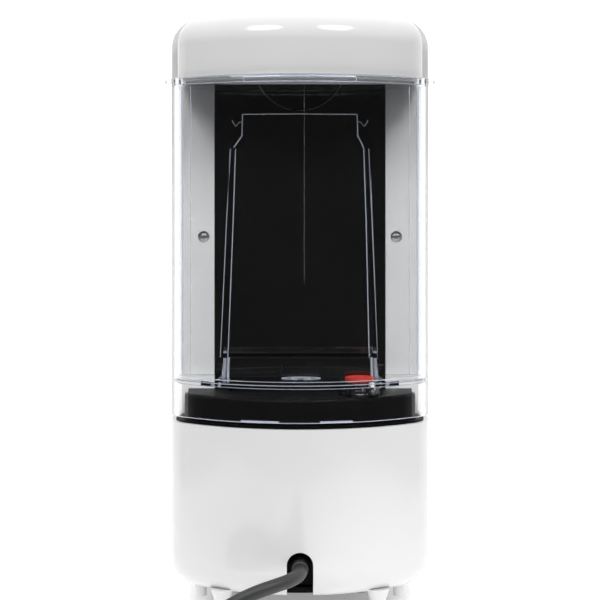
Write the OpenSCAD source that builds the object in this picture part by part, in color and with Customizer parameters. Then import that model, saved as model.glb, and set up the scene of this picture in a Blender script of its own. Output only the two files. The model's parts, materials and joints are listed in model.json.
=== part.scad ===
// Compact capsule coffee machine with a lift-off water tank at the back.
// Frame: +Z up, z = 0 on the counter, back of the machine towards -Y, cup side towards +Y.
// Origin: centre of the machine's footprint (the mains cord is left out of that footprint).

/* [Body] */
// Width of the base housing, straight across between its sides
body_w = 141; // [135:1:147]
// Depth of the machine from the back of the base to the front of the drip tray
body_depth = 330; // [322:1:340]
// Corner radius of the body in plan
corner_r = 22.5; // [21:0.5:24]
// Fillet round the foot of the base and the top of the caps
edge_r = 16; // [12:1:17]
// Wall thickness of the moulded shells
wall = 2.5; // [2:0.1:3]

/* [Levels] */
// Clearance of the base above the counter
foot_h = 10; // [8:0.5:12]
// Top rim of the base housing
base_top = 100; // [96:1:104]
// Top of the tank, where its cap begins
rim_z = 286; // [280:1:292]
// Underside of the brew head
head_z = 212; // [206:1:216]
// Top of the caps
top_z = 321; // [316:1:326]

/* [Tank] */
// Inset of the tank from the body outline
tank_inset = 1; // [0.8:0.1:1.2]
// Wall thickness of the clear tank
tank_wall = 2.5; // [2:0.1:3]
// Inset of the tank's cap from the body outline
cap_inset = 3.3; // [3:0.1:3.6]
// Diameter of the tank valve's sealing disc
valve_d = 15.5; // [14:0.5:16]

/* [Cord] */
// Diameter of the mains cord
cord_d = 7; // [6.6:0.1:7.2]
// Radius of the stored coil at the middle of its turns
coil_r = 37; // [36:0.5:38]

/* [Hidden] */

white_plastic = [0.93, 0.93, 0.92];
black_plastic = [0.06, 0.06, 0.065];
grey_plastic = [0.45, 0.46, 0.48];
rubber_black = [0.09, 0.09, 0.09];
clear_plastic = [0.86, 0.9, 0.93, 0.35];
steel = [0.7, 0.71, 0.73];
seal_red = [0.83, 0.12, 0.08];

fine = 96;
half_w = body_w / 2;
back_y = -body_depth / 2;
front_y = body_depth / 2;
side_half = half_w + 1;          // the column and head stand 1 mm proud of the base
column_back = back_y + 51;       // back face of the column, where the tank stands
column_front = -8;               // front face of the column, behind the cup
head_front = 112;                // most forward point of the brew head
gap = 0.3;                       // gap between separate mouldings

// ---------- outline and block of the bowed body ----------

// Every outline is an inset of the base housing's, so the arcs always meet at the same angle.
swing = asin(0.6);
bow_r = corner_r + (half_w - corner_r) / 0.6;
corner_y = back_y + bow_r - 0.8 * (bow_r - corner_r);

// Plan outline: bowed back, rounded corners, straight sides, flat front with small corner radii.
module body_outline(inset, front, front_corner = 0) {
    half = half_w - inset;
    bow = bow_r - inset;
    corner = corner_r - inset;
    intersection() {
        union() {
            intersection() {
                translate([0, back_y + bow_r]) circle(r = bow, $fn = fine);
                translate([0, back_y + bow_r])
                    polygon([[0, 0], [-0.9 * bow, -1.2 * bow], [0, -1.3 * bow], [0.9 * bow, -1.2 * bow]]);
            }
            for (side = [-1, 1])
                translate([side * (half - corner), corner_y]) circle(r = corner, $fn = fine);
        }
        translate([-half, back_y]) square([2 * half, corner_y - back_y]);
    }
    translate([-half, corner_y]) square([2 * half, front - front_corner - corner_y]);
    if (front_corner > 0) {
        translate([front_corner - half, corner_y]) square([2 * (half - front_corner), front - corner_y]);
        for (side = [-1, 1])
            translate([side * (half - front_corner), front - front_corner]) circle(r = front_corner, $fn = fine);
    }
}

// Section of a wall: a rectangle from the axis out to reach, with its outer corners rounded.
module wall_section(reach, z0, z1, foot_r, top_r) {
    polygon([
        [0, z0], [reach - foot_r, z0], [reach - foot_r, z0 + foot_r], [reach, z0 + foot_r],
        [reach, z1 - top_r], [reach - top_r, z1 - top_r], [reach - top_r, z1], [0, z1]
    ]);
    if (foot_r > 0) translate([reach - foot_r, z0 + foot_r]) intersection() {
        circle(r = foot_r, $fn = fine);
        translate([0, -foot_r]) square(foot_r);
    }
    if (top_r > 0) translate([reach - top_r, z1 - top_r]) intersection() {
        circle(r = top_r, $fn = fine);
        square(top_r);
    }
}

// Straight stretch of the body between two planes across it.
module straight_block(half, back, front, z0, z1, foot_r = 0, top_r = 0) {
    translate([0, front, 0]) rotate([90, 0, 0]) linear_extrude(front - back) {
        wall_section(half, z0, z1, foot_r, top_r);
        mirror([1, 0]) wall_section(half, z0, z1, foot_r, top_r);
    }
}

// Body block with a bowed back and a flat front, its outer edges filleted at the foot or top.
module body_block(inset, z0, z1, front, foot_r = 0, top_r = 0) {
    intersection() {
        union() {
            translate([0, back_y + bow_r, 0]) rotate([0, 0, 270 - swing])
                rotate_extrude(angle = 2 * swing, $fn = fine)
                    wall_section(bow_r - inset, z0, z1, foot_r, top_r);
            for (side = [0, 1]) mirror([side, 0, 0])
                translate([half_w - corner_r, corner_y, 0]) rotate([0, 0, 270 + swing])
                    rotate_extrude(angle = 100 - swing, $fn = fine)
                        wall_section(corner_r - inset, z0, z1, foot_r, top_r);
        }
        slab(2 * body_w, back_y - 5, corner_y, z0 - 1, z1 + 1);
    }
    straight_block(half_w - inset, corner_y, front, z0, z1, foot_r, top_r);
}

// The brew head's outline and block: the body's, 1 mm proud of it and turned to face forwards.
head_shift = head_front + back_y - 1;
module head_outline(inset, back) {
    translate([0, head_shift]) mirror([0, 1]) body_outline(inset - 1, head_shift - back);
}
module head_block(inset, z0, z1, back, foot_r = 0, top_r = 0) {
    translate([0, head_shift, 0]) mirror([0, 1, 0])
        body_block(inset - 1, z0, z1, head_shift - back, foot_r, top_r);
}

// The tray's outline and block: the body's, inset and turned to face forwards.
tray_inset = 6;
tray_shift = front_y + back_y + tray_inset;
module tray_outline(inset, back) {
    translate([0, tray_shift]) mirror([0, 1]) body_outline(tray_inset + inset, tray_shift - back);
}
module tray_block(inset, z0, z1, back, foot_r = 0, top_r = 0) {
    translate([0, tray_shift, 0]) mirror([0, 1, 0])
        body_block(tray_inset + inset, z0, z1, tray_shift - back, foot_r, top_r);
}

// ---------- small helpers ----------

module slab(size_x, y0, y1, z0, z1) {
    translate([-size_x / 2, y0, z0]) cube([size_x, y1 - y0, z1 - z0]);
}

module rod_x(r, x0, x1) { translate([x0, 0, 0]) rotate([0, 90, 0]) cylinder(r = r, h = x1 - x0, $fn = fine); }
module rod_y(r, y0, y1) { translate([0, y1, 0]) rotate([90, 0, 0]) cylinder(r = r, h = y1 - y0, $fn = fine); }
module rod_z(r, z0, z1) { translate([0, 0, z0]) cylinder(r = r, h = z1 - z0, $fn = fine); }
module ring_z(r_out, r_in, z0, z1) {
    difference() {
        rod_z(r_out, z0, z1);
        rod_z(r_in, z0 - 1, z1 + 1);
    }
}

// Unit vector, and a tube of n sides swept along points.
function unit(v) = v / norm(v);
function path_heading(p, i) = unit(p[min(i + 1, len(p) - 1)] - p[max(i - 1, 0)]);
// A side vector square to the heading, level wherever the path isn't upright.
function level_side(h) = abs(h[2]) > 0.92 ? unit(cross(h, [1, 0, 0])) : unit(cross([0, 0, 1], h));
function tube_ring(c, h, r, n) =
    let (side = level_side(h), up = cross(h, side))
    [for (k = [0:n - 1]) c + r * (cos(360 * k / n) * side + sin(360 * k / n) * up)];
module swept_tube(p, r, n = 8) {
    last = len(p) - 1;
    points = [for (i = [0:last]) each tube_ring(p[i], path_heading(p, i), r, n)];
    walls = [for (i = [0:last - 1], k = [0:n - 1])
        [i * n + k, i * n + (k + 1) % n, (i + 1) * n + (k + 1) % n, (i + 1) * n + k]];
    near_end = [for (k = [0:n - 1]) n - 1 - k];
    far_end = [for (k = [0:n - 1]) last * n + k];
    polyhedron(points, concat(walls, [near_end], [far_end]), convexity = 6);
}
// Catmull-Rom curve through the route's points, with steps rings to each stretch.
function curve_point(a, b, c, d, t) =
    0.5 * (2 * b + (c - a) * t + (2 * a - 5 * b + 4 * c - d) * t * t + (3 * b - a - 3 * c + d) * t * t * t);
function smooth_route(p, steps) = [
    for (i = [0:len(p) - 2], s = [0:steps - 1])
        curve_point(p[max(i - 1, 0)], p[i], p[i + 1], p[min(i + 2, len(p) - 1)], s / steps),
    p[len(p) - 1]
];

// ---------- base ----------

notch_w = 13.8;                  // cord notch in the back of the base
notch_z = foot_h + 19.3;         // centre of the notch's arch
leg_x = 41.6;                    // tapered legs moulded under the back corners
leg_y = back_y + 18;
stub_x = 54;                     // short stubs beside them, further in
stub_y = back_y + 34;

module cord_notch(extra) {
    translate([0, back_y - 5, notch_z]) rod_y(notch_w / 2 + extra, 0, 25);
    slab(notch_w + 2 * extra, back_y - 5, back_y + 20, foot_h - 2, notch_z);
}

module base_housing() color(white_plastic) {
    difference() {
        body_block(0, foot_h, base_top, column_front, edge_r);
        body_block(wall, foot_h + wall, base_top + 1, column_front - wall, edge_r - wall);
        translate([0, 0, foot_h - 1]) linear_extrude(wall + 3) body_outline(edge_r + 2, column_front - 12);
        cord_notch(0);
    }
    // bosses that the base plate is screwed to, each on a rib from the side wall
    for (s = screw_spots) difference() {
        union() {
            translate([s[0], s[1], 0]) rod_z(4, foot_h + 3, foot_h + 20);
            translate([s[0] > 0 ? s[0] : -half_w + 2, s[1] - 1, foot_h + 6])
                cube([half_w - 2 - abs(s[0]), 2, 14]);
        }
        translate([s[0], s[1], 0]) rod_z(1.5, foot_h, foot_h + 16);
    }
    for (side = [-1, 1]) {
        translate([side * leg_x, leg_y, 0]) {
            rod_z(4.4, 1.5, foot_h - 3);
            translate([0, 0, foot_h - 3]) cylinder(r1 = 4.4, r2 = 6.4, h = 6, $fn = fine);
        }
        translate([side * stub_x, stub_y, 0]) rod_z(3.1, foot_h - 5.6, foot_h + 1.5);
    }
}

plate_inset = edge_r + 2 + gap;
screw_spots = [[-48, -112], [48, -112], [-48, -46], [48, -46]];

module base_plate() color(black_plastic) difference() {
    translate([0, 0, foot_h]) {
        linear_extrude(3) body_outline(plate_inset, column_front - 12 - gap);
        // upright wall that closes the cord notch from inside
        slab(34, back_y + plate_inset + 3, back_y + plate_inset + 5, 0, 34);
    }
    for (s = screw_spots) translate([s[0], s[1], 0]) {
        rod_z(1.7, foot_h - 1, foot_h + 4);
        rod_z(3.4, foot_h - 1, foot_h + 1.2);
    }
    translate([0, 0, exit_z]) rod_y(5.6, back_y, back_y + 40);
    for (side = [-1, 1], y = [-70, -86]) translate([side * 20, y, 0]) slab(24, 0, 3, foot_h - 1, foot_h + 4);
}

module base_plate_screws() color(steel) for (s = screw_spots) translate([s[0], s[1], 0]) {
    difference() {
        rod_z(3, foot_h + 0.2, foot_h + 1.2);
        slab(4, -0.4, 0.4, foot_h, foot_h + 0.7);
        slab(0.8, -2, 2, foot_h, foot_h + 0.7);
    }
    rod_z(1.4, foot_h + 1.2, foot_h + 11);
}

foot_spots = [[-32, -104], [32, -104], [-40, 128], [40, 128]];
module rubber_feet() color(rubber_black) for (f = foot_spots) translate([f[0], f[1], 0]) intersection() {
    translate([0, 0, foot_h]) sphere(r = 13, $fn = fine);
    rod_z(20, 0, foot_h);
}

tray_z = foot_h + 6.4;
tray_top = foot_h + 36;

module tray_cradle() color(white_plastic) difference() {
    tray_block(0, foot_h, foot_h + 6, column_front, 4);
    translate([0, 0, foot_h + wall]) linear_extrude(9) tray_outline(wall + 2, column_front + 3);
}

// ---------- tank dock on the base ----------

valve_x = 32;
valve_y = back_y + 27;
dock_z = foot_h + 105;
socket_z = dock_z - 9;

module at_valve() { translate([valve_x, valve_y, 0]) children(); }

module tank_dock() color(black_plastic) difference() {
    union() {
        translate([0, 0, base_top - 4]) linear_extrude(5) body_outline(wall + gap, column_back - gap);
        body_block(7.5, base_top + 1, dock_z, column_back - gap, 0, 2);
        at_valve() rod_z(15, base_top - 9, base_top - 3);
    }
    // underside is hollow, apart from the socket's cup
    difference() {
        translate([0, 0, base_top - 5])
            linear_extrude(dock_z - base_top + 5 - wall) body_outline(7.5 + wall, column_back - gap - wall);
        at_valve() rod_z(15, base_top - 12, dock_z);
    }
    at_valve() {
        rod_z(12, socket_z, dock_z + 1);
        rod_z(3, base_top - 20, dock_z);
    }
}

module dock_seal() color(rubber_black) at_valve() ring_z(11, 7.6, socket_z, socket_z + 2.4);

// Hollow pin that lifts the tank's valve: a collar on the socket's floor and four fingers.
module dock_pin() color(grey_plastic) at_valve() difference() {
    union() {
        rod_z(7, socket_z, socket_z + 1.6);
        rod_z(3.2, socket_z, socket_z + 5.6);
        rod_z(2.8, base_top - 16, socket_z);
    }
    rod_z(1.8, base_top - 17, socket_z + 6);
    for (turn = [0, 90]) rotate([0, 0, turn]) slab(8, -0.8, 0.8, socket_z + 2.4, socket_z + 6);
}

// ---------- column behind the cup, in front of the tank ----------

panel_half = 47.2;
pad_depth = 8;                   // how far the guide pad stands out of the back panel
pad_top = rim_z - 19.6;
ledge_z = dock_z + 21;           // top of the deeper foot of the pad
ledge_depth = 12;
scoop_r = 25;
scoop_z = rim_z + 9;

// Outline of the guide pad in the X-Z plane, wider towards its foot.
module pad_outline(grow, foot) {
    flank = [[30.4, pad_top], [31, pad_top - 11.2], [35.2, pad_top - 17.5], [36.4, pad_top - 57],
             [39.4, ledge_z - 3], [39.6, foot]];
    offset_flank = [for (p = flank) [p[0] + grow, p[1] + (p[1] == foot ? 0 : grow)]];
    polygon(concat(offset_flank, [for (i = [len(flank) - 1:-1:0]) [-offset_flank[i][0], offset_flank[i][1]]]));
}

module pad_block(grow, foot, depth) {
    translate([0, column_back + 0.01, 0]) rotate([90, 0, 0]) linear_extrude(depth + grow)
        pad_outline(grow, foot);
}

// Deeper foot of the pad, with a sloping top that leads the tank on.
module ledge_block(grow, foot) {
    y0 = column_back;
    translate([-38.5 - grow, 0, 0]) rotate([90, 0, 90]) linear_extrude(77 + 2 * grow) polygon([
        [y0, foot], [y0 - ledge_depth - grow, foot], [y0 - ledge_depth - grow, ledge_z - 3 + grow],
        [y0 - pad_depth - grow, ledge_z + grow], [y0, ledge_z + grow]
    ]);
}

module rear_panel() color(black_plastic) difference() {
    union() {
        slab(2 * panel_half, column_back, column_back + wall, base_top + 0.2, rim_z);
        pad_block(0, dock_z + gap, pad_depth);
        ledge_block(0, dock_z + gap);
        intersection() {
            translate([0, 0, scoop_z]) rod_y(scoop_r + wall, column_back, column_back + 10);
            slab(100, column_back, column_back + 10, rim_z - 30, rim_z);
        }
    }
    // the pad is hollow from the inside
    translate([0, column_back + wall + 1, 0]) rotate([90, 0, 0]) linear_extrude(pad_depth + 1)
        pad_outline(-wall, dock_z + gap + wall);
    translate([0, 0, scoop_z]) rod_y(scoop_r, column_back - 1, column_back + 8);
    translate([-7.2, 0, 0]) slab(5.4, column_back - ledge_depth - 1, column_back - ledge_depth + 5, dock_z - 1,
                                 ledge_z - 6);
}

panel_screw_x = 53.4;
panel_screw_z = foot_h + 189.5;

module side_profile() {
    union() {
        translate([column_back, base_top]) square([column_front - column_back, rim_z - base_top]);
        translate([column_back, head_z]) square([head_side_end - column_back, rim_z - head_z]);
        // rounded inner corner between the column and the head
        difference() {
            translate([column_front, head_z - 14]) square(14);
            translate([column_front + 14, head_z - 14]) circle(r = 14, $fn = fine);
        }
    }
}
head_side_end = 70;

module side_panel() color(white_plastic) difference() {
    union() {
        translate([side_half - wall, 0, 0]) rotate([90, 0, 90]) linear_extrude(wall) side_profile();
        translate([panel_half + gap, column_back, base_top])
            cube([side_half - panel_half - gap, wall, rim_z - base_top]);
        // boss behind the screw
        translate([panel_screw_x, 0, panel_screw_z]) rod_y(4.5, column_back, column_back + 12);
    }
    translate([panel_screw_x, 0, panel_screw_z]) {
        rod_y(1.5, column_back - 1, column_back + 11);
        rod_y(3.2, column_back - 1, column_back + 2.9);
    }
}
module side_panel_right() { side_panel(); }
module side_panel_left() { mirror([1, 0, 0]) side_panel(); }

module side_panel_screws() color(steel) for (side = [-1, 1])
    translate([side * panel_screw_x, column_back + 2.9, panel_screw_z]) {
        difference() {
            intersection() {
                rod_y(2.8, -2.6, 0);
                translate([0, 2.2, 0]) sphere(r = 4.2, $fn = fine);
            }
            translate([0, -2.6, 0]) for (turn = [0, 90]) rotate([0, turn, 0]) slab(3.2, 0, 1.6, -0.35, 0.35);
        }
        rod_y(1.4, 0, 8);
    }

module front_panel() color(black_plastic) difference() {
    slab(2 * (side_half - wall - gap), column_front - wall, column_front, base_top + gap, head_z - gap);
    for (z = [base_top + 16:9:base_top + 52]) translate([0, 0, z]) slab(40, column_front - 1, column_front + 1, 0, 2);
}

module chassis() color(grey_plastic) {
    difference() {
        union() {
            slab(128, -38, -35, foot_h + 18, rim_z - 2);
            slab(112, -38, -35, foot_h + 3, foot_h + 18);
        }
        slab(84, -39, -34, base_top + 14, base_top + 126);
        slab(100, -39, -34, foot_h + 20, base_top - 8);
        slab(90, -39, -34, base_top + 138, rim_z - 8);
    }
    // shelf over the pump, open for the hoses and wiring
    difference() {
        slab(128, -110, -38, base_top - 3, base_top);
        for (side = [-1, 1]) translate([side * 34, 0, 0]) slab(34, -96, -50, base_top - 4, base_top + 1);
        slab(14, -80, -50, base_top - 4, base_top + 1);
    }
}

// ---------- brew head ----------

brew_y = 45;
fascia_half = 38;
fascia_z0 = head_z + 14;
fascia_z1 = rim_z - 5;
button_x = 15;
button_z = head_z + 34;
button_r = 6.5;
release_z0 = head_z + 56;
release_z1 = head_z + 65;

module head_front_cover() color(white_plastic) difference() {
    head_block(0, head_z, rim_z, head_side_end, 8, 0);
    head_block(wall, head_z + wall, rim_z + 1, head_side_end - 1, 8 - wall, 0);
    slab(2 * fascia_half + 2 * gap, head_front - 20, head_front + 2, fascia_z0 - gap, fascia_z1 + gap);
}

module fascia_band(inset_out, inset_in, z0, z1) {
    translate([0, 0, z0]) linear_extrude(z1 - z0) difference() {
        head_outline(inset_out, head_side_end);
        head_outline(inset_in, head_side_end - 1);
    }
}

module control_fascia() color(black_plastic) difference() {
    intersection() {
        fascia_band(-0.4, wall, fascia_z0, fascia_z1);
        slab(2 * fascia_half, head_side_end, head_front + 3, fascia_z0, fascia_z1);
    }
    for (side = [-1, 1]) translate([side * button_x, 0, button_z]) rod_y(button_r + gap, 60, head_front + 5);
    slab(31, 60, head_front + 5, release_z0 - gap, release_z1 + gap);
    translate([0, 0, head_z + 20]) rod_y(1.5, 60, head_front + 5);
}

module status_light() color([0.95, 0.6, 0.2]) translate([0, 0, head_z + 20]) rod_y(1.45, head_front - 2, head_front);

module button_blank(z) {
    intersection() {
        union() {
            translate([0, 0, z]) rod_y(button_r, head_front - 12, head_front + 3);
            translate([0, 0, z]) rod_y(button_r + 1.6, head_front - 12, head_front - 8.5);
        }
        linear_extrude(top_z) head_outline(-1.2, 60);
    }
}
module espresso_button() color(grey_plastic) translate([-button_x, -1.2, 0]) button_blank(button_z);
module lungo_button() color(grey_plastic) translate([button_x, -1.2, 0]) button_blank(button_z);

module lid_release_button() color(grey_plastic) {
    intersection() {
        slab(30, head_front - 9, head_front + 3, release_z0, release_z1);
        linear_extrude(top_z) head_outline(-1, 60);
    }
    slab(34, head_front - 12, head_front - 9, release_z0 - 1, release_z1 + 1);
}

module head_underside() color(black_plastic) difference() {
    slab(2 * (side_half - wall - gap), column_front + gap, head_side_end - gap, head_z, head_z + wall);
    translate([0, brew_y, 0]) rod_z(14, head_z - 1, head_z + 4);
}

chamber_z = head_z + 28;
flange_z = rim_z - 3;

module capsule_chamber() color(black_plastic) translate([0, brew_y, 0]) difference() {
    union() {
        rod_z(29, chamber_z, flange_z);
        rod_z(6, head_z + 10, chamber_z);
    }
    rod_z(26, chamber_z + 3, flange_z + 1);
    rod_z(3, head_z, chamber_z + 4);
}

// Ribbed flange round the chamber's mouth.
module chamber_flange() color(black_plastic) translate([0, brew_y, 0]) {
    ring_z(40, 29.05, flange_z - 3, flange_z);
    for (turn = [0:60:300]) rotate([0, 0, turn]) translate([33.1, 0, 0])
        slab(8, -1, 1, flange_z - 16, flange_z - 3);
}

module chamber_seal() color(seal_red) translate([0, brew_y, 0]) ring_z(31, 27, flange_z, flange_z + 2.4);

module coffee_spout() color(black_plastic) translate([0, brew_y, 0]) difference() {
    union() {
        rod_z(13.6, head_z - 4, head_z + 18);
        translate([0, 0, head_z - 22]) cylinder(r1 = 9, r2 = 13.6, h = 18, $fn = fine);
    }
    rod_z(6.2, head_z + 10, head_z + 19);
    rod_z(2.5, head_z - 12, head_z + 11);
    for (side = [-1, 1]) translate([side * 4.2, 0, 0]) rod_z(2, head_z - 23, head_z - 10);
    slab(10, -1.8, 1.8, head_z - 14, head_z - 10);
}

// ---------- top cover, lid hinge and brew lid ----------

hinge_y = -58;
hinge_z = top_z - 6;
barrel_r = 4.5;
cover_front = hinge_y - 8.5;
lid_back = hinge_y + 5;
trough_z = hinge_z - 5.5;        // floor of the trough that the hinge barrels lie in
cap_z = rim_z + 0.4;

module rear_top_cover() color(white_plastic) difference() {
    union() {
        difference() {
            straight_block(side_half, column_back, cover_front, cap_z, top_z, 0, edge_r);
            straight_block(side_half - wall, column_back + wall, cover_front - wall, cap_z - 1, top_z - wall, 0,
                           edge_r - wall);
        }
        // lower step in front, its top the trough's floor
        difference() {
            slab(2 * side_half, cover_front - 1, lid_back - gap, cap_z, trough_z);
            slab(2 * (side_half - wall), cover_front - 2, lid_back - gap - wall, cap_z - 1, trough_z - wall);
        }
        for (side = [-1, 1]) translate([side * 31, hinge_y, hinge_z]) {
            rod_x(barrel_r, -9.5, 9.5);
            slab(19, -3, 3, -6, -1);
        }
    }
    translate([0, hinge_y, hinge_z]) rod_x(1.55, -60, 60);
}

module hinge_pin() color(steel) translate([0, hinge_y, hinge_z]) rod_x(1.5, -40.5, 40.5);

module brew_lid() color(white_plastic) difference() {
    union() {
        difference() {
            head_block(0, cap_z, top_z, lid_back, 0, edge_r);
            head_block(wall, cap_z - 1, top_z - wall, lid_back + wall, 0, edge_r - wall);
        }
        translate([0, hinge_y, hinge_z]) {
            rod_x(barrel_r, -21, 21);
            slab(42, 1, 6, -3, 3);
        }
    }
    translate([0, hinge_y, hinge_z]) rod_x(1.55, -30, 30);
    // thumb recess at the front edge
    translate([0, head_front + 8, cap_z - 2]) rotate([-90, 0, 0]) translate([0, 0, -12]) rod_z(14, 0, 12);
}

module brew_lid_liner() color(black_plastic) difference() {
    translate([0, 0, cap_z + 2.6]) linear_extrude(wall) head_outline(wall + 0.4, lid_back + wall + 0.4);
    translate([0, brew_y, 0]) rod_z(12, cap_z, cap_z + 8);
}

plate_z = flange_z + 2.5;
module injection_plate() color(steel) translate([0, brew_y, 0]) difference() {
    union() {
        rod_z(33, plate_z, cap_z + 2.6);
        rod_z(24, plate_z - 4, plate_z);
        rod_z(11.6, cap_z + 2.6, cap_z + 12);
    }
    rod_z(2, plate_z - 3, cap_z + 13);
}

module injection_needles() color(steel) translate([0, brew_y, 0])
    for (turn = [0, 120, 240]) rotate([0, 0, turn]) translate([11, 0, plate_z - 12])
        cylinder(r1 = 0.3, r2 = 1.4, h = 8, $fn = fine);

// ---------- water path and electrics inside ----------

pump_x = -34;
pump_z = foot_h + 42;
pump_y0 = -118;

module at_pump() { translate([pump_x, pump_y0, pump_z]) children(); }

module pump_coil() color([0.2, 0.2, 0.22]) at_pump() difference() {
    union() {
        rod_y(20, 22, 58);
        slab(46, 24, 56, -24, -17);
    }
    rod_y(11.2, 20, 60);
}
module pump_body() color([0.85, 0.84, 0.8]) at_pump() difference() {
    union() {
        rod_y(11, 12, 72);
        rod_y(13, 60, 70);
        rod_y(4.5, 0, 12);
        rod_y(4, 72, 84);
    }
    rod_y(2, -1, 85);
}
module pump_mounts() color(rubber_black) at_pump() for (y = [14, 60.5]) translate([0, y, 0]) difference() {
    slab(40, 0, 7.5, foot_h + 3 - pump_z, 16);
    rod_y(y > 30 ? 13.1 : 11.1, -1, 9);
}

flow_x = 34;
flow_y = -78;
flow_z = foot_h + 26;
module flowmeter() color([0.9, 0.9, 0.88]) translate([flow_x, flow_y, flow_z]) {
    difference() {
        rod_z(15, 0, 20);
        rod_z(12, 4, 17);
    }
    translate([0, 0, 8]) {
        translate([9, 0, 0]) rod_y(3, -26, -12);
        translate([-9, 0, 0]) rod_y(3, 12, 26);
    }
    for (turn = [45:90:315]) rotate([0, 0, turn]) translate([15.5, 0, 0]) rod_z(3, 0, 20);
}

block_y = -70;
block_z = base_top + 26;
module thermoblock() color([0.72, 0.72, 0.72]) difference() {
    union() {
        slab(76, block_y, block_y + 28, block_z, block_z + 92);
        for (k = [0:6]) translate([0, 0, block_z + 6 + 13 * k]) slab(82, block_y + 4, block_y + 24, 0, 4);
        for (x = [-24, 24]) translate([x, block_y + 14, 0]) rod_z(5, block_z - 10, block_z);
        translate([26, block_y + 14, 0]) rod_z(4, block_z + 92, block_z + 104);
    }
    for (x = [-24, 24]) translate([x, block_y + 14, 0]) rod_z(2, block_z - 11, block_z + 40);
    translate([26, block_y + 14, 0]) rod_z(2, block_z + 60, block_z + 105);
}
module thermostats() color([0.15, 0.15, 0.16]) for (x = [-16, 14])
    translate([x, block_y, block_z + 50]) {
        rod_y(8, -6, 0);
        for (side = [-1, 1]) translate([side * 4, 0, 0]) slab(1, -14, -6, -2, 2);
    }

board_y = -102;
module control_board() color([0.1, 0.35, 0.16]) difference() {
    slab(96, board_y, board_y + 1.6, base_top + 16, base_top + 126);
    for (x = [-43, 43], z = [base_top + 21, base_top + 121]) translate([x, 0, z]) rod_y(1.7, board_y - 1, board_y + 3);
}
module board_components() color([0.12, 0.12, 0.14]) {
    translate([-28, 0, 0]) slab(20, board_y + 1.6, board_y + 17, base_top + 24, base_top + 44);
    translate([6, 0, 0]) slab(30, board_y + 1.6, board_y + 19, base_top + 24, base_top + 50);
    for (x = [-32, -18]) translate([x, 0, base_top + 66]) rod_y(5, board_y + 1.6, board_y + 20);
    for (x = [8, 20, 32]) translate([x, 0, 0]) slab(8, board_y + 1.6, board_y + 12, base_top + 62, base_top + 76);
    slab(26, board_y + 1.6, board_y + 4, base_top + 88, base_top + 104);
    translate([34, 0, 0]) slab(12, board_y + 1.6, board_y + 10, base_top + 94, base_top + 112);
}

hose_r = 3.5;
suction_route = [
    [valve_x, valve_y, base_top - 16], [valve_x, valve_y, base_top - 19], [valve_x, valve_y, base_top - 22],
    [valve_x + 3, valve_y + 5, 70], [flow_x + 8, valve_y + 16, 57], [flow_x + 9, flow_y - 36, flow_z + 9],
    [flow_x + 9, flow_y - 31, flow_z + 8], [flow_x + 9, flow_y - 26, flow_z + 8]
];
pressure_route = [
    [pump_x, pump_y0 + 84, pump_z], [pump_x, pump_y0 + 87, pump_z], [pump_x, pump_y0 + 90, pump_z],
    [pump_x + 3, -23, pump_z + 10], [-28, -27, 76], [-25, -44, 85], [-24, -56, 92], [-24, -58, 100],
    [-24, block_y + 14, block_z - 16], [-24, block_y + 14, block_z - 13], [-24, block_y + 14, block_z - 10]
];
brew_route = [
    [26, block_y + 14, block_z + 104], [26, block_y + 14, block_z + 106], [26, block_y + 14, block_z + 108],
    [24, -48, block_z + 117], [18, -32, block_z + 120], [6, -20, block_z + 120], [2, -6, block_z + 119],
    [0, 3, block_z + 118]
];
// From the flow meter's outlet round to the pump's inlet.
transfer_route = [
    [flow_x - 9, flow_y + 26, flow_z + 8], [flow_x - 9, flow_y + 28, flow_z + 8],
    [flow_x - 9, flow_y + 30, flow_z + 8], [16, -46, flow_z + 6], [5, -54, flow_z + 4], [0, -72, flow_z + 3],
    [-4, -96, flow_z + 5], [-12, -116, pump_z - 6], [-24, -128, pump_z - 2], [-33, -128, pump_z],
    [pump_x, pump_y0 - 6, pump_z], [pump_x, pump_y0 - 3, pump_z], [pump_x, pump_y0, pump_z]
];
module transfer_hose() color([0.8, 0.82, 0.84]) swept_tube(smooth_route(transfer_route, 3), hose_r, 10);
module suction_hose() color([0.8, 0.82, 0.84]) swept_tube(smooth_route(suction_route, 3), hose_r, 10);
module pressure_hose() color([0.92, 0.92, 0.9]) swept_tube(smooth_route(pressure_route, 3), 3, 10);
module brew_hose() color([0.92, 0.92, 0.9]) swept_tube(smooth_route(brew_route, 4), 2.6, 10);

// ---------- cord gland ----------

exit_y = back_y - 1;
exit_z = foot_h + 17.5;

module cord_clamp() color(grey_plastic) difference() {
    slab(22, back_y + 40, back_y + 50, foot_h + 3, exit_z + 9);
    translate([0, 0, exit_z]) rod_y(cord_d / 2 + 0.1, back_y + 30, back_y + 60);
}

module strain_relief() color(rubber_black) translate([0, 0, exit_z]) {
    translate([0, exit_y + 24, 0]) rotate([90, 0, 0]) cylinder(r1 = 5.4, r2 = 4.4, h = 24, $fn = fine);
    rod_y(cord_d / 2, exit_y + 24, back_y + 58);
    rod_y(6.6, exit_y + 29, exit_y + 32);
    rod_y(5.4, exit_y + 24, exit_y + 29);
}

// ---------- tank ----------

tank_z = foot_h + 93;            // foot of the tank's skirt
floor_z = foot_h + 110.7;        // underside of the tank's floor
floor_t = 2.6;
rim_h = 4.4;
tank_front = column_back - 1;
seat_z = floor_z + floor_t;

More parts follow.
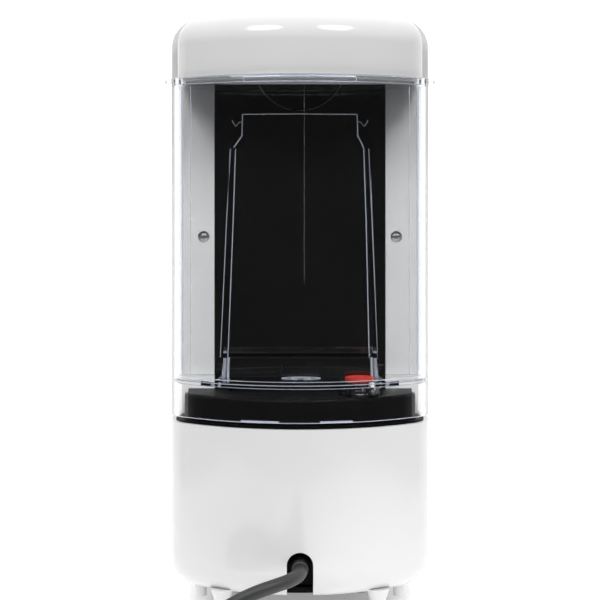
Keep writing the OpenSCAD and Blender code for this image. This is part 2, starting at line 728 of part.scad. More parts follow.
module tank_vessel() color(clear_plastic) difference() {
    union() {
        difference() {
            translate([0, 0, tank_z]) linear_extrude(rim_z - tank_z) body_outline(tank_inset, tank_front, 6);
            // water space
            difference() {
                union() {
                    translate([0, 0, seat_z]) linear_extrude(rim_z - rim_h - seat_z)
                        body_outline(tank_inset + tank_wall, tank_front - tank_wall, 6 - tank_wall);
                    translate([0, 0, seat_z]) linear_extrude(rim_z - seat_z + 1)
                        body_outline(tank_inset + 4, tank_front - 4, 2);
                }
                pad_block(0.7 + tank_wall, tank_z, pad_depth);
                ledge_block(0.7 + tank_wall, tank_z);
            }
            // hollow under the floor, open towards the column
            translate([0, 0, tank_z - 1]) linear_extrude(floor_z - tank_z + 1)
                body_outline(tank_inset + tank_wall, column_back + 2);
        }
        at_valve() rod_z(11.4, socket_z + 3, floor_z + 1);
        // lifting ears at the ends of the rim
        for (side = [-1, 1]) translate([side * 70, back_y + 40, 0]) slab(7, -7, 7, rim_z - 2.6, rim_z);
        // grip tab in the middle of the back
        intersection() {
            translate([0, 0, rim_z - rim_h]) linear_extrude(rim_h) difference() {
                body_outline(0.1, tank_front);
                body_outline(3, tank_front + 10);
            }
            slab(59, back_y - 1, back_y + 30, rim_z - rim_h, rim_z);
        }
    }
    pad_block(0.7, tank_z - 1, pad_depth);
    ledge_block(0.7, tank_z - 1);
    at_valve() {
        rod_z(6, socket_z, seat_z + 1);
        rod_z(8.2, socket_z, seat_z - 4);
    }
}

// Sleeve pressed into the tank's outlet, with a web across its top that guides the valve's stem.
web_z = seat_z - 5.2;
module valve_guide() color([0.9, 0.9, 0.9]) at_valve() difference() {
    rod_z(8.2, socket_z + 3, seat_z - 4);
    rod_z(6.8, socket_z, web_z);
    rod_z(2.3, socket_z, seat_z);
    for (turn = [0:90:270]) rotate([0, 0, turn]) translate([4.5, 0, 0]) rod_z(1.4, web_z - 1, seat_z);
}

// Spring between the stem's collar and the guide's web, drawn as separate turns.
module valve_spring() color(steel) at_valve() for (k = [0:2])
    translate([0, 0, socket_z + 7.4 + k * (web_z - socket_z - 7.8) / 2])
        rotate_extrude($fn = fine) translate([4.3, 0]) circle(r = 0.4, $fn = 24);

module valve_seal() color(seal_red) at_valve() rod_z(valve_d / 2, seat_z, seat_z + 1.1);

module valve_stem() color([0.2, 0.2, 0.22]) at_valve() {
    rod_z(2, socket_z + 6, seat_z);
    rod_z(5.4, socket_z + 6, socket_z + 7);
}

module tank_cap() color(white_plastic) difference() {
    cap_front = tank_front - 0.5;
    union() {
        body_block(cap_inset, cap_z - 0.1, top_z, cap_front, 0, edge_r);
        // plug that locates the cap inside the tank's rim
        translate([0, 0, rim_z - 2]) linear_extrude(4) body_outline(tank_inset + 4.8, tank_front - 4.8, 2);
    }
    translate([0, 0, rim_z - 7]) linear_extrude(9) body_outline(tank_inset + 6.6, tank_front - 6.6, 1);
    body_block(cap_inset + 2.2, rim_z + 2, top_z - 2.2, cap_front - 2.2, 0, edge_r - 2.2);
}

// Grey liner plate inside the cap.
module cap_inlay() color(grey_plastic) translate([0, 0, rim_z + 2])
    linear_extrude(1.6) body_outline(cap_inset + 2.6, tank_front - 3.4, 1);

// ---------- drip tray ----------

module drip_tray() color(black_plastic) difference() {
    tray_block(2.5, tray_z, tray_top, column_front + 0.5, 3);
    tray_block(5, tray_z + wall, tray_top + 1, column_front + 3, 2);
}

module tray_float() color(seal_red) translate([40, 20, tray_z + wall + 0.3]) {
    rod_z(6, 0, 8);
    rod_z(2, 8, 16);
}

module drip_grid() color(steel) difference() {
    translate([0, 0, tray_top + 0.2]) linear_extrude(2) tray_outline(3.4, column_front + 1);
    for (k = [-8:8]) translate([6.4 * k, 0, 0])
        slab(3, k % 8 == 0 ? 12 : 8, abs(k) > 6 ? 118 : 140, tray_top - 1, tray_top + 4);
}

// ---------- free mains cord, laid on the counter behind the machine ----------

coil_centre = [-80, back_y - 90];
lay_z = cord_d / 2;
cord_route = [
    [0, exit_y, exit_z], [0, exit_y - 3, exit_z], [0, exit_y - 6, exit_z], [-1.5, exit_y - 12, exit_z],
    [-6, exit_y - 19, exit_z - 0.4],
    [-13, exit_y - 24, 26], [-21, exit_y - 27, 24], [-30, exit_y - 29, 20.5], [-40, exit_y - 32, 15.5],
    [-50, exit_y - 36, 10], [-59, exit_y - 40, 6.4], [-68, exit_y - 44.5, 4.2], [-76, exit_y - 47.8, 3.6],
    [-80, exit_y - 48.3, 3.6]
];
tail_route = [
    [-80, -295.7, 10.8], [-70, -295.2, 10.4], [-60, -293.6, 9.4], [-50, -292.4, 8.3], [-43, -292, 7.8],
    [-39.5, -292, 7.7], [-36, -292, 7.7]
];
module mains_cord() color(rubber_black) swept_tube(smooth_route(cord_route, 3), lay_z, 8);
module cord_tail() color(rubber_black) swept_tube(smooth_route(tail_route, 2), lay_z, 8);
module cord_coil() color(rubber_black) translate([coil_centre[0], coil_centre[1], 0])
    ring_z(coil_r + cord_d + 0.4, coil_r - cord_d - 0.4, 0, 2 * cord_d + 0.4);

module mains_plug() color(rubber_black) translate([-36, -292, 7.7]) rotate([0, -19.4, 0]) {
    rod_x(6, 0, 14);
    translate([14, 0, 0]) rotate([0, 90, 0]) cylinder(r1 = 7, r2 = 17, h = 14, $fn = fine);
    rod_x(18, 28, 44);
    color(steel) for (side = [-1, 1]) translate([44, side * 9.5, 0]) rod_x(2.4, 0, 19);
}

// ---------- what is drawn ----------

base_housing();
base_plate();
base_plate_screws();
rubber_feet();
tray_cradle();
tank_dock();
dock_seal();
dock_pin();
rear_panel();
side_panel_left();
side_panel_right();
side_panel_screws();
front_panel();
chassis();
head_front_cover();
control_fascia();
status_light();
head_underside();
rear_top_cover();
hinge_pin();
capsule_chamber();
chamber_flange();
chamber_seal();
coffee_spout();
pump_body();
pump_coil();
pump_mounts();
flowmeter();
thermoblock();
thermostats();
control_board();
board_components();
suction_hose();
transfer_hose();
pressure_hose();
brew_hose();
cord_clamp();
strain_relief();
tank_vessel();
valve_guide();
valve_spring();
valve_seal();
valve_stem();
tank_cap();
cap_inlay();
brew_lid();
brew_lid_liner();
injection_plate();
injection_needles();
lid_release_button();
espresso_button();
lungo_button();
drip_tray();
tray_float();
drip_grid();
mains_cord();
cord_coil();
cord_tail();
mains_plug();
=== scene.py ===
"""Compact capsule coffee machine, seen from the back: materials, finer pieces, light and camera."""
import bpy
import json
import math
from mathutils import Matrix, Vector


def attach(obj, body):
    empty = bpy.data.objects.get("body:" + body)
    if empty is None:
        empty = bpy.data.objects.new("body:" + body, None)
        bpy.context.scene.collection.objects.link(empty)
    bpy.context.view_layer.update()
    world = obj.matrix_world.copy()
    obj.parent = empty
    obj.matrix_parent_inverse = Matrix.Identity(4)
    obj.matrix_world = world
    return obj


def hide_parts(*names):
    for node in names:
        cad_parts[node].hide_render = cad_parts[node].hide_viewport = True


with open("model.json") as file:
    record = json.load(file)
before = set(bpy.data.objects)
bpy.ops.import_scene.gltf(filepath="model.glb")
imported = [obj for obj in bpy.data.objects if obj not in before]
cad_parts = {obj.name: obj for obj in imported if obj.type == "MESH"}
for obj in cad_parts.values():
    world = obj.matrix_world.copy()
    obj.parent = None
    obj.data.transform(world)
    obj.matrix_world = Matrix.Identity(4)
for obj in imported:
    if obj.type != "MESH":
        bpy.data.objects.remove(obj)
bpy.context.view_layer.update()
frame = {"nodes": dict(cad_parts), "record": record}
nodes = frame["nodes"]
MM = 0.001
SHARP_ANGLE = math.radians(40)   # edges that turn more than this stay sharp
scene = bpy.context.scene

# ---------- camera ----------

BACK_Y = -0.165                  # rearmost plane of the machine
CAMERA_DISTANCE = 0.7            # from the machine's back
CAMERA_HEIGHT = 0.22             # level with the tank's middle
LENS = 80.64
HORIZON_SHIFT = -1 / 6           # the horizon lies above the middle of the frame


def make_camera():
    """Level camera behind the machine, its frame shifted down."""
    data = bpy.data.cameras.new("camera")
    data.lens = LENS
    data.sensor_width = 36
    data.shift_y = HORIZON_SHIFT
    data.clip_start = 0.05
    data.clip_end = 20
    camera = bpy.data.objects.new("camera", data)
    camera.location = (0, BACK_Y - CAMERA_DISTANCE, CAMERA_HEIGHT)
    camera.rotation_euler = (math.radians(90), 0, 0)
    scene.collection.objects.link(camera)
    scene.camera = camera


make_camera()

# ---------- cord: route, then a coil of three and a half turns, then its plug ----------

CORD_D = 0.007
EXIT = (0, -166, 27.5)
LEAD_OUT = [
    EXIT, (0, -169, 27.5), (0, -172, 27.5), (-1.5, -178, 27.5), (-6, -185, 27.1), (-13, -190, 26),
    (-21, -193, 24), (-30, -195, 20.5), (-40, -198, 15.5), (-50, -202, 10), (-59, -206, 6.4),
    (-68, -210.5, 4.2), (-76, -213.8, 3.6),
]
TAIL = [(-70, -295.2, 10.4), (-60, -293.6, 9.4), (-50, -292.4, 8.3), (-43, -292, 7.8), (-36, -292, 7.7)]
COIL_X, COIL_Y = -80, -255
LANES = [(40.7, 3.6), (33.3, 3.6), (33.3, 10.8), (40.7, 10.8)]      # radius and height of each turn
TURNS = 3.5
TURN_STEP = 15                                                      # degrees between points


def coil_points():
    """Points round the coil, easing from lane to lane over the last sixth of each turn."""
    points = []
    for k in range(int(TURNS * 360 / TURN_STEP) + 1):
        angle = k * TURN_STEP
        lane = min(angle // 360, len(LANES) - 1)
        along = (angle - lane * 360) / 360
        radius, height = LANES[lane]
        if along > 5 / 6 and lane < len(LANES) - 1:
            t = (along - 5 / 6) * 6
            t = t * t * (3 - 2 * t)
            next_radius, next_height = LANES[lane + 1]
            radius += (next_radius - radius) * t
            height += (next_height - height) * t
        a = math.radians(90 + angle)
        points.append((COIL_X + radius * math.cos(a), COIL_Y + radius * math.sin(a), height))
    return points


def smooth_line(points, steps=4):
    """Catmull-Rom curve through the points."""
    points = [Vector(p) for p in points]
    line = []
    for i in range(len(points) - 1):
        a, b = points[max(i - 1, 0)], points[i]
        c, d = points[i + 1], points[min(i + 2, len(points) - 1)]
        for k in range(steps):
            t = k / steps
            line.append(0.5 * (2 * b + (c - a) * t + (2 * a - 5 * b + 4 * c - d) * t * t
                               + (3 * b - a - 3 * c + d) * t ** 3))
    line.append(points[-1])
    return line


def mesh_object(name, verts, faces):
    """A smoothly shaded mesh object, its points in millimetres."""
    mesh = bpy.data.meshes.new(name)
    mesh.from_pydata([tuple(v * MM for v in p) for p in verts], [], faces)
    mesh.shade_smooth()
    mesh.set_sharp_from_angle(angle=SHARP_ANGLE)
    obj = bpy.data.objects.new(name, mesh)
    scene.collection.objects.link(obj)
    return obj


def ridge(points, radius, sides=8, across=None):
    """Points and faces of a round ridge or cord along a line; across is a direction the line never takes."""
    points = [Vector(p) for p in points]
    count = len(points)
    verts, faces = [], []
    for i, point in enumerate(points):
        heading = (points[min(i + 1, count - 1)] - points[max(i - 1, 0)]).normalized()
        aside = Vector(across or ((0, 1, 0) if abs(heading.y) < 0.9 else (1, 0, 0)))
        side = heading.cross(aside).normalized()
        up = side.cross(heading)
        for k in range(sides):
            a = 2 * math.pi * k / sides
            verts.append(tuple(point + (side * math.cos(a) + up * math.sin(a)) * radius))
    for i in range(count - 1):
        for k in range(sides):
            n = (k + 1) % sides
            faces.append((i * sides + k, i * sides + n, (i + 1) * sides + n, (i + 1) * sides + k))
    faces.append(tuple(reversed(range(sides))))
    faces.append(tuple((count - 1) * sides + k for k in range(sides)))
    return verts, faces


def make_cord():
    """Round cord along its route, and the points that it follows, in metres."""
    line = smooth_line(LEAD_OUT + coil_points() + TAIL)
    cord = mesh_object("cord", *ridge(line, CORD_D / 2 / MM, 24, across=(0, 0, 1)))
    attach(cord, "machine")
    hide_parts("mains_cord", "cord_coil", "cord_tail")
    return cord, [p * MM for p in line]


cord, cord_path = make_cord()

# ---------- materials ----------


def node_material(name):
    """A new material with its shader node, and a function that adds nodes."""
    material = bpy.data.materials.new(name)
    material.use_nodes = True
    tree = material.node_tree
    shader = tree.nodes["Principled BSDF"]

    def add(kind, **settings):
        node = tree.nodes.new(kind)
        for key, value in settings.items():
            if key.startswith("in_"):
                node.inputs[key[3:].replace("_", " ")].default_value = value
            else:
                setattr(node, key, value)
        return node

    return material, tree, shader, add


def noise(tree, add, scale, detail=3.0, stretch=None):
    """Noise over object coordinates, in turns per metre."""
    coords = add("ShaderNodeTexCoord")
    source = coords.outputs["Object"]
    if stretch:
        mapping = add("ShaderNodeMapping")
        mapping.inputs["Scale"].default_value = stretch
        tree.links.new(source, mapping.inputs["Vector"])
        source = mapping.outputs["Vector"]
    texture = add("ShaderNodeTexNoise", in_Scale=scale, in_Detail=detail)
    tree.links.new(source, texture.inputs["Vector"])
    return texture.outputs["Fac"]


def ramp(tree, add, fac, low, high, start=0.3, end=0.7):
    """Colour ramp between two colours."""
    node = add("ShaderNodeValToRGB")
    node.color_ramp.elements[0].position = start
    node.color_ramp.elements[0].color = (*low, 1)
    node.color_ramp.elements[1].position = end
    node.color_ramp.elements[1].color = (*high, 1)
    tree.links.new(fac, node.inputs["Fac"])
    return node.outputs["Color"]


def spread(tree, add, fac, low, high):
    """The factor mapped to a range of values."""
    node = add("ShaderNodeMapRange")
    node.inputs["To Min"].default_value = low
    node.inputs["To Max"].default_value = high
    tree.links.new(fac, node.inputs["Value"])
    return node.outputs["Result"]


def bump(tree, add, shader, height, strength, distance):
    """Fine relief from a height."""
    node = add("ShaderNodeBump")
    node.inputs["Strength"].default_value = strength
    node.inputs["Distance"].default_value = distance
    tree.links.new(height, node.inputs["Height"])
    tree.links.new(node.outputs["Normal"], shader.inputs["Normal"])


def plastic(name, dark, light, rough, grain=900, bump_strength=0.05, specular=0.5):
    """Moulded plastic: slight mottling, uneven gloss and a fine surface texture."""
    material, tree, shader, add = node_material(name)
    broad = noise(tree, add, 18, 2)
    fine = noise(tree, add, grain, 2)
    tree.links.new(ramp(tree, add, broad, dark, light), shader.inputs["Base Color"])
    tree.links.new(spread(tree, add, noise(tree, add, 60, 4), *rough), shader.inputs["Roughness"])
    shader.inputs["Specular IOR Level"].default_value = specular
    bump(tree, add, shader, fine, bump_strength, 0.0001)
    return material


def clear_plastic(name, colour, rough, clear=1.0):
    """Clear moulded plastic, very faintly wavy."""
    material, tree, shader, add = node_material(name)
    broad = noise(tree, add, 12, 2)
    low = tuple(c * 0.985 for c in colour)
    tree.links.new(ramp(tree, add, broad, low, colour), shader.inputs["Base Color"])
    tree.links.new(spread(tree, add, noise(tree, add, 40, 3), *rough), shader.inputs["Roughness"])
    shader.inputs["Transmission Weight"].default_value = clear
    shader.inputs["IOR"].default_value = 1.49
    bump(tree, add, shader, noise(tree, add, 14, 1), 0.01, 0.0002)
    return material


def metal(name, dark, light, rough, stretch=(1, 1, 30)):
    """Metal with a grain, drawn out along one direction unless stretch is even."""
    material, tree, shader, add = node_material(name)
    grain = noise(tree, add, 300, 3, stretch)
    tree.links.new(ramp(tree, add, grain, dark, light), shader.inputs["Base Color"])
    tree.links.new(spread(tree, add, grain, *rough), shader.inputs["Roughness"])
    shader.inputs["Metallic"].default_value = 1.0
    bump(tree, add, shader, grain, 0.05, 0.0001)
    return material


def looks():
    """Each material slot's material, and two looks for finer pieces: a near-black painted shade and a whitish
    clear look that paints glints.
    """
    plastics = {
        # name: dark and light mottling, roughness, then grain, bump strength and specular where not the usual
        "white_plastic": ((0.76, 0.76, 0.76), (0.79, 0.79, 0.79), (0.09, 0.13), 700, 0.02),
        "black_plastic": ((0.0025, 0.0025, 0.0026), (0.004, 0.004, 0.0042), (0.34, 0.42), 1500, 0.06, 0.07),
        # painted shade: a darker, duller black for a sheet laid in the round recess, where the panel only
        # lies in shade
        "painted_shade_black": ((0.0008, 0.0008, 0.0008), (0.0014, 0.0014, 0.0015), (0.6, 0.7), 1500, 0.06, 0.02),
        "grey_plastic": ((0.22, 0.23, 0.24), (0.27, 0.28, 0.29), (0.35, 0.45)),
        "natural_plastic": ((0.70, 0.68, 0.61), (0.78, 0.76, 0.69), (0.35, 0.5)),
        "dark_plastic": ((0.02, 0.02, 0.023), (0.035, 0.035, 0.04), (0.4, 0.5)),
        "rubber_black": ((0.018, 0.018, 0.019), (0.03, 0.03, 0.032), (0.38, 0.5), 1800, 0.15),
        "silicone_hose": ((0.6, 0.62, 0.64), (0.68, 0.7, 0.72), (0.25, 0.35)),
        "white_hose": ((0.75, 0.75, 0.73), (0.82, 0.82, 0.8), (0.3, 0.4)),
        "seal_red": ((0.5, 0.02, 0.012), (0.62, 0.035, 0.02), (0.3, 0.4)),
        "circuit_board": ((0.01, 0.09, 0.025), (0.02, 0.13, 0.035), (0.3, 0.4)),
        "amber_light": ((0.7, 0.3, 0.04), (0.85, 0.42, 0.07), (0.15, 0.25)),
    }
    made = {name: plastic(name, *settings) for name, settings in plastics.items()}
    made["clear_plastic"] = clear_plastic("clear_plastic", (0.985, 0.99, 0.995), (0.0, 0.012))
    # painted glints: a whitish, partly opaque, faintly blue clear look that makes the tank's edges and floor
    # ring show as bright lines
    made["clear_glint_paint"] = clear_plastic("clear_glint_paint", (0.82, 0.87, 0.98), (0.03, 0.08), 0.68)
    made["steel"] = metal("steel", (0.5, 0.5, 0.51), (0.66, 0.66, 0.67), (0.2, 0.34))
    made["aluminium"] = metal("aluminium", (0.55, 0.55, 0.56), (0.7, 0.7, 0.71), (0.35, 0.5), (1, 1, 1))
    return made


MATERIALS = looks()
for part in frame["record"]["subparts"]:
    node_object = nodes[part["node"]]
    for material_slot in node_object.material_slots:
        material_slot.material = MATERIALS[part["material_slot"]]
    if part["material_slot"] == "clear_plastic":
        node_object.visible_shadow = False         # clear walls let the light straight through
cord.data.materials.append(MATERIALS["rubber_black"])

# ---------- finer pieces ----------


def piece(name, verts, faces, body, slot, replaces=(), look=None):
    """A mesh piece that rides on a body. Its material is the slot's, or the one that look names."""
    obj = mesh_object(name, verts, faces)
    obj.data.materials.append(MATERIALS[look or slot])
    obj.visible_shadow = slot != "clear_plastic"
    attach(obj, body)
    if replaces:
        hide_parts(*replaces)
    return obj


def lathe(profile, origin, axis, segments=64, shape=None):
    """Points and faces turned round an axis; profile is (along, radius), shape scales the radius by angle."""
    axis = Vector(axis).normalized()
    side = axis.cross(Vector((0, 0, 1))).normalized() if abs(axis.z) < 0.9 else Vector((1, 0, 0))
    up = side.cross(axis)
    verts, faces = [], []
    for along, radius in profile:
        for k in range(segments):
            a = 2 * math.pi * k / segments
            r = radius * (shape(along, a) if shape else 1)
            verts.append(tuple(Vector(origin) + axis * along + (side * math.cos(a) + up * math.sin(a)) * r))
    for i in range(len(profile) - 1):
        for k in range(segments):
            n = (k + 1) % segments
            faces.append((i * segments + k, (i + 1) * segments + k, (i + 1) * segments + n, i * segments + n))
    faces.append(tuple(range(segments)))
    faces.append(tuple(reversed(range((len(profile) - 1) * segments, len(profile) * segments))))
    return verts, faces


def join(*parts):
    """Several pieces' points and faces as one."""
    verts, faces = [], []
    for part_verts, part_faces in parts:
        base = len(verts)
        verts += part_verts
        faces += [tuple(i + base for i in face) for face in part_faces]
    return verts, faces


def make_strain_relief():
    """Ribbed rubber sleeve that holds the cord where it leaves the base."""
    profile = [(0, 3.55), (0.3, 4.1)]
    for k in range(6):
        start, r = 0.3 + 4 * k, 4.4 + k / 6
        profile += [(start + 0.2, r - 0.1), (start + 0.5, r), (start + 2.3, r), (start + 2.6, r - 0.2),
                    (start + 2.8, r - 0.9), (start + 3.6, r - 0.9), (start + 3.8, r - 0.3)]
    profile += [(24.6, 5.4), (29, 5.4), (29.1, 6.3), (29.4, 6.6),
                (31.6, 6.6), (31.9, 6.3), (32, 3.5), (59, 3.5)]
    verts, faces = lathe(profile, EXIT, (0, 1, 0), 48)
    piece("cord_sleeve", verts, faces, "machine", "rubber_black", ["strain_relief"])


PLUG_TILT = math.radians(19.4)
PIN_SPACING = 19


def make_plug():
    """Round mains plug with a ribbed grip and two pins, tilted as it lies on its edge."""
    axis = Vector((math.cos(PLUG_TILT), 0, math.sin(PLUG_TILT)))
    start = Vector(TAIL[-1])
    profile = [(0, 3.6), (0.4, 4.6), (1, 5.2)]
    for k in range(4):
        profile += [(1.5 + 3 * k, 5.9), (2.9 + 3 * k, 5.9), (3.2 + 3 * k, 4.8), (4.1 + 3 * k, 4.8)]
    profile += [(14, 6.2), (15, 7.2), (18, 9.4), (22, 12.4), (25.5, 15), (27.4, 16.6), (28.2, 17.3),
                (29.2, 17.8), (30.5, 18), (41.5, 18), (42.9, 17.7), (43.7, 17), (44, 16), (44, 8),
                (43.4, 7.6), (43.4, 0.1)]

    def grip(along, angle):
        return 1 - 0.025 * (0.5 + 0.5 * math.cos(24 * angle)) ** 0.5 if 29 < along < 43 else 1

    body = lathe(profile, start, axis, 96, grip)
    pins = []
    for side in (-1, 1):
        pin = [(43, 2.4), (59.5, 2.4), (61, 2.2), (62.2, 1.6), (62.9, 0.8), (63, 0.1)]
        pins.append(lathe(pin, start + Vector((0, side * PIN_SPACING / 2, 0)), axis, 24))
    verts, faces = join(body, *pins)
    plug = piece("plug_body", verts, faces, "machine", "rubber_black", ["mains_plug"])
    plug.data.materials.append(MATERIALS["steel"])
    for polygon in plug.data.polygons:
        if polygon.index >= len(body[1]):
            polygon.material_index = 1
    return plug


def make_coil_tie():
    """Band that holds the coil's turns together."""
    angle = math.radians(235)
    out = Vector((math.cos(angle), math.sin(angle), 0))
    along = Vector((-math.sin(angle), math.cos(angle), 0))
    centre = Vector((COIL_X, COIL_Y, 7.35)) + out * 37
    verts, faces = [], []
    steps = 48
    for k in range(steps):
        a = 2 * math.pi * k / steps
        c, s = math.cos(a), math.sin(a)
        squareness = (abs(c) ** 4 + abs(s) ** 4) ** -0.25
        for half, size in ((-2.6, 7.25), (-2.4, 7.9), (2.4, 7.9), (2.6, 7.25)):
            place = centre + along * half + (out * c + Vector((0, 0, 1)) * s) * squareness * size
            place.z = max(place.z, 0.02)             # flattened where it lies on the counter
            verts.append(tuple(place))
    for k in range(steps):
        n = (k + 1) % steps
        for j in range(3):
            faces.append((4 * k + j, 4 * n + j, 4 * n + j + 1, 4 * k + j + 1))
        faces.append((4 * k + 3, 4 * n + 3, 4 * n, 4 * k))
    return piece("cord_tie", verts, faces, "machine", "grey_plastic")


def make_mould_line():
    """Fine witness line of the tank's mould, up the middle of its back."""
    x0, half, y0, stand = 2.2, 0.1, -164.02, 0.06
    bottom, top, levels = 176, 281, 40
    verts, faces = [], []
    for k in range(levels + 1):
        z = bottom + (top - bottom) * k / levels
        fade = min(1, 6 * (1 - abs(2 * k / levels - 1)) + 0.05)
        for dx, dy in ((-half, 0.1), (-half * 0.5, -stand * fade), (half * 0.5, -stand * fade), (half, 0.1)):
            verts.append((x0 + dx, y0 + dy, z))
    for k in range(levels):
        for j in range(3):
            faces.append((4 * k + j, 4 * k + j + 1, 4 * k + j + 5, 4 * k + j + 4))
        faces.append((4 * k + 3, 4 * k, 4 * k + 4, 4 * k + 7))
    faces.append((3, 2, 1, 0))
    faces.append(tuple(4 * levels + j for j in range(4)))
    piece("tank_mould_line", verts, faces, "tank", "clear_plastic")


def make_gate_ring():
    """Faint broken ring left by the mould on the tank's floor, just behind the guide's foot, in a whitish
    look that paints glints on it.
    """
    parts = []
    centre_x, centre_y, floor_z, steps = 0.5, -135.2, 123.4, 24
    arcs = [(10.6, 4.6, 10, 165, 0.16), (10.6, 4.6, 190, 262, 0.2), (10.6, 4.6, 278, 350, 0.2),
            (5.5, 3, 200, 340, 0.16), (5.5, 3, 20, 160, 0.12)]
    for half_x, half_y, start, end, thick in arcs:
        angles = [math.radians(start + (end - start) * k / steps) for k in range(steps + 1)]
        arc = [(centre_x + half_x * math.cos(a), centre_y + half_y * math.sin(a), floor_z) for a in angles]
        parts.append(ridge(arc, thick))
    verts, faces = join(*parts)
    piece("tank_floor_ring_painted_glints", verts, faces, "tank", "clear_plastic", look="clear_glint_paint")


GUIDE_Y = -125.6                 # water side of the tank's guide channel
WALL_Y = -118.1                  # water side of the tank's front wall
GUIDE_EDGES = [
    # points as x and height, the plane they lie in, and the ridge's radius
    (((-31.36, 267.09), (-16.5, 267.26), (0, 267.31), (16.5, 267.2), (31.08, 267.09)), GUIDE_Y, 0.28),
    (((-31.36, 267.09), (-31.52, 261.26), (-31.69, 255.21), (-34.11, 251.91), (-36.2, 248.88)),
     GUIDE_Y, 0.34),
    (((31.08, 267.09), (31.36, 261.26), (31.47, 255.21), (33.34, 251.91), (34.82, 248.39)), GUIDE_Y, 0.34),
    (((-35.21, 248.06), (-36.53, 209), (-37.96, 170.49), (-39.39, 133.63)), GUIDE_Y, 0.28),
    (((34.82, 248.06), (36.14, 209), (36.97, 170.49), (37.8, 133.63)), GUIDE_Y, 0.28),
    (((-38.18, 248.34), (-40.57, 208.89), (-42.29, 169.98), (-44.01, 132.75)), WALL_Y, 0.26),
    (((37.85, 248.34), (39.62, 208.89), (41.24, 169.98), (42.85, 131.64)), WALL_Y, 0.26),
]
GUIDE_PAIRS = [
    # the same on each side, given for the positive one: the lug, then two feet that flare towards the floor
    (((37.51, 264.46), (36.9, 262.79), (35.57, 260.9), (34.46, 261.9), (33.34, 263.01), (31.68, 263.35)),
     WALL_Y, 0.3),
    (((41.12, 132.75), (41.4, 127.75), (41.68, 123.3), (42.51, 119.97), (44.46, 117.75)), WALL_Y, 1.1),
    (((38.79, 133.63), (39.06, 127.58), (39.34, 122.07), (38.51, 118.77)), GUIDE_Y, 0.8),
]


def make_guide_edges():
    """Rounded edges of the guide channel moulded in the tank's front wall, with two small lugs at its top, in
    a whitish look that paints glints along them.
    """
    lines = list(GUIDE_EDGES)
    for side in (-1, 1):
        lines += [([(side * x, z) for x, z in line], plane, thick) for line, plane, thick in GUIDE_PAIRS]
    parts = [ridge([(x, plane, z) for x, z in line], thick) for line, plane, thick in lines]
    verts, faces = join(*parts)
    piece("tank_guide_edges_painted_glints", verts, faces, "tank", "clear_plastic", look="clear_glint_paint")


BACK_BOW = 102.5                 # radius of the bowed back, seen from above
BACK_CORNER = 22.5               # radius of the corners beside it
RIM_REACH, FLOOR_REACH, TAB_REACH = 66, 65, 29      # half widths of the tank's rim, floor and grip tab
# painted glints: the beads take the whitish clear look; the two short ones on the skirt foot sit where the
# lamps' reflections fall
TANK_BEADS = [
    # inset from the body's outline, height, centre, half width, radius
    (1.2, 103.4, 0, RIM_REACH, 0.22), (1.3, 103.9, -21, 10, 0.5), (1.3, 103.9, 19, 8.5, 0.5),
    (3.9, 124.5, 0, FLOOR_REACH, 0.18), (3.9, 122.6, 0, FLOOR_REACH, 0.25),
    (3.9, 120.9, 0, FLOOR_REACH, 0.16),
    (1.2, 285.6, 0, RIM_REACH, 0.25), (1.4, 282.2, 0, RIM_REACH, 0.2),
    (0.55, 284.6, 0, TAB_REACH, 0.55), (0.55, 282, 0, TAB_REACH, 0.2), (0.8, 285, -33, 3.5, 0.4),
]
UPRIGHT_BEADS = [(66.4, -122, 0.5), (62.5, -138.7, 0.3), (58.1, -142.6, 0.2)]       # x, y, radius


def outline_back(inset, centre, reach, count=48):
    """Points along the bowed back of the body's outline, reach mm to each side of a centre."""
    points = []
    for k in range(count + 1):
        x = centre - reach + 2 * reach * k / count
        if abs(x) <= (BACK_BOW - inset) * 0.6:
            y = BACK_Y / MM + BACK_BOW - math.sqrt((BACK_BOW - inset) ** 2 - x * x)
        else:
            y = -126.5 - math.sqrt(max((BACK_CORNER - inset) ** 2 - (abs(x) - 48) ** 2, 0))
        points.append((x, y))
    return points


def make_beads():
    """Rounded edges of the tank: along its rim and grip tab, floor, skirt foot and upright corners, in a
    whitish look that paints glints along them.
    """
    parts = [ridge([(x, y, z) for x, y in outline_back(inset, centre, reach)], thick)
             for inset, z, centre, reach, thick in TANK_BEADS]
    for side in (-1, 1):
        for x, y, thick in UPRIGHT_BEADS:
            parts.append(ridge([(side * x, y, z) for z in (126, 180, 230, 281)], thick))
        parts.append(ridge([(side * (TAB_REACH + 0.4), -160.2, z) for z in (282, 283.5, 285)], 0.3))
    verts, faces = join(*parts)
    piece("tank_beads_painted_glints", verts, faces, "tank", "clear_plastic", look="clear_glint_paint")


RECESS_Z = 295                   # middle of the back panel's round recess


def recess_arc(radius, start, sweep, count=40):
    """Points as x and height on the round recess, angles in degrees."""
    angles = [math.radians(start + sweep * k / count) for k in range(count + 1)]
    return [(radius * math.cos(a), RECESS_Z + radius * math.sin(a)) for a in angles]


def make_recess_edge():
    """Rounded lip of the round recess at the top of the back panel, grey as a painted highlight, and a
    near-black sheet over its floor as painted shade.
    """
    verts, faces = ridge([(x, -114.1, z) for x, z in recess_arc(25.2, 202, 136)], 0.22)
    # the lip is grey, not the panel's black: a painted highlight along its edge
    piece("panel_recess_lip_painted_highlight", verts, faces, "machine", "black_plastic", look="grey_plastic")
    rim = recess_arc(24.9, 201.4, 137.2)
    verts = [(x, y, z) for y in (-106.2, -106.6) for x, z in rim]
    count = len(rim)
    faces = [tuple(range(count)), tuple(reversed(range(count, 2 * count)))]
    faces += [(i, count + i, count + (i + 1) % count, (i + 1) % count) for i in range(count)]
    # near-black sheet just in front of the recess floor: painted shade
    piece("panel_recess_painted_shade", verts, faces, "machine", "black_plastic", look="painted_shade_black")


make_strain_relief()
make_gate_ring()
make_guide_edges()
make_beads()
make_recess_edge()
plug = make_plug()
tie = make_coil_tie()
make_mould_line()

# ---------- room ----------

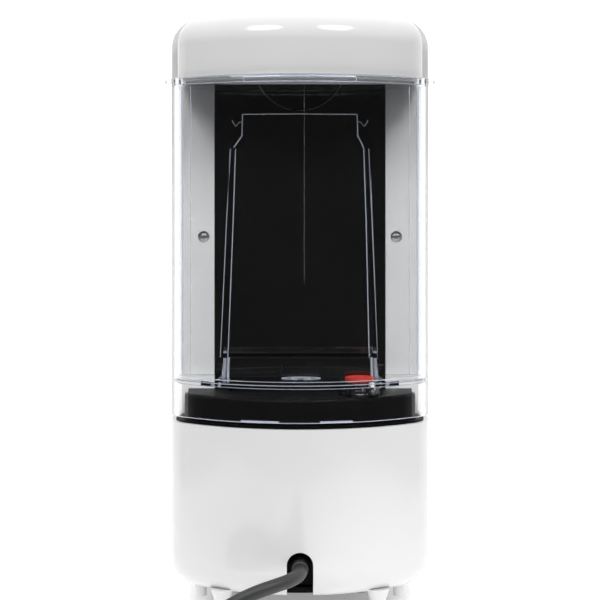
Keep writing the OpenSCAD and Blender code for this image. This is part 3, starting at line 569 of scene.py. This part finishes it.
FLOOR = [(-0.34, -0.5), (0.34, -0.5), (0.4, 0.0), (3.2, 9.0), (-3.2, 9.0), (-0.4, 0.0)]
FLOOR_DROP = 0.0003              # keeps the counter just clear of what stands on it
WORLD_DARK = 0.03
WORLD_BANDS = [     # axis, where the light begins and is full along it, strength
    ("Z", 0.14, 0.4, 1.0), ("Y", -0.05, 0.35, 1.2), ("X", 0.93, 0.99, 0.25),
]
LAMP_SIZE, LAMP_POWER = 0.36, 3.0


def make_floor():
    """A pale counter, from just behind the machine's cord out to a far bright horizon."""
    mesh = bpy.data.meshes.new("floor")
    mesh.from_pydata([(x, y, -FLOOR_DROP) for x, y in FLOOR], [], [tuple(range(len(FLOOR)))])
    floor = bpy.data.objects.new("floor", mesh)
    scene.collection.objects.link(floor)
    material, tree, shader, add = node_material("floor_paint")
    paint = ramp(tree, add, noise(tree, add, 3, 3), (0.88, 0.88, 0.88), (0.91, 0.91, 0.91))
    tree.links.new(paint, shader.inputs["Base Color"])
    shader.inputs["Roughness"].default_value = 0.6
    shader.inputs["Emission Color"].default_value = (1, 1, 1, 1)
    shader.inputs["Emission Strength"].default_value = 0.3
    bump(tree, add, shader, noise(tree, add, 250, 3), 0.03, 0.0002)
    mesh.materials.append(material)


def area_light(name, place, target):
    """A round soft lamp aimed at a point."""
    data = bpy.data.lights.new(name, "AREA")
    data.shape = "ELLIPSE"
    data.size = data.size_y = LAMP_SIZE
    data.energy = LAMP_POWER
    light = bpy.data.objects.new(name, data)
    light.location = place
    light.rotation_euler = (Vector(target) - Vector(place)).to_track_quat("-Z", "Y").to_euler()
    scene.collection.objects.link(light)


def make_world():
    """Studio surroundings: bright overhead, beyond the machine and far aside, dark behind the viewer."""
    world = bpy.data.worlds.new("world")
    world.use_nodes = True
    tree = world.node_tree
    background = tree.nodes["Background"]
    coords = tree.nodes.new("ShaderNodeTexCoord")
    axes = tree.nodes.new("ShaderNodeSeparateXYZ")
    tree.links.new(coords.outputs["Generated"], axes.inputs["Vector"])
    total = None
    for axis, start, end, strength in WORLD_BANDS:
        level = axes.outputs[axis]
        if axis == "X":                              # the same on both sides
            size = tree.nodes.new("ShaderNodeMath")
            size.operation = "ABSOLUTE"
            tree.links.new(level, size.inputs[0])
            level = size.outputs["Value"]
        band = tree.nodes.new("ShaderNodeMapRange")
        band.interpolation_type = "SMOOTHSTEP"
        band.inputs["From Min"].default_value = start
        band.inputs["From Max"].default_value = end
        band.inputs["To Min"].default_value = WORLD_DARK
        band.inputs["To Max"].default_value = strength
        tree.links.new(level, band.inputs["Value"])
        if total is None:
            total = band.outputs["Result"]
        else:
            brighter = tree.nodes.new("ShaderNodeMath")
            brighter.operation = "MAXIMUM"
            tree.links.new(total, brighter.inputs[0])
            tree.links.new(band.outputs["Result"], brighter.inputs[1])
            total = brighter.outputs["Value"]
    tree.links.new(total, background.inputs["Strength"])
    background.inputs["Color"].default_value = (1, 1, 1, 1)
    scene.world = world


make_floor()
make_world()
for side in (-1, 1):
    area_light("lamp", (side * 0.36, -0.75, 1.05), (0, 0, 0.3))
scene.view_settings.view_transform = "Standard"
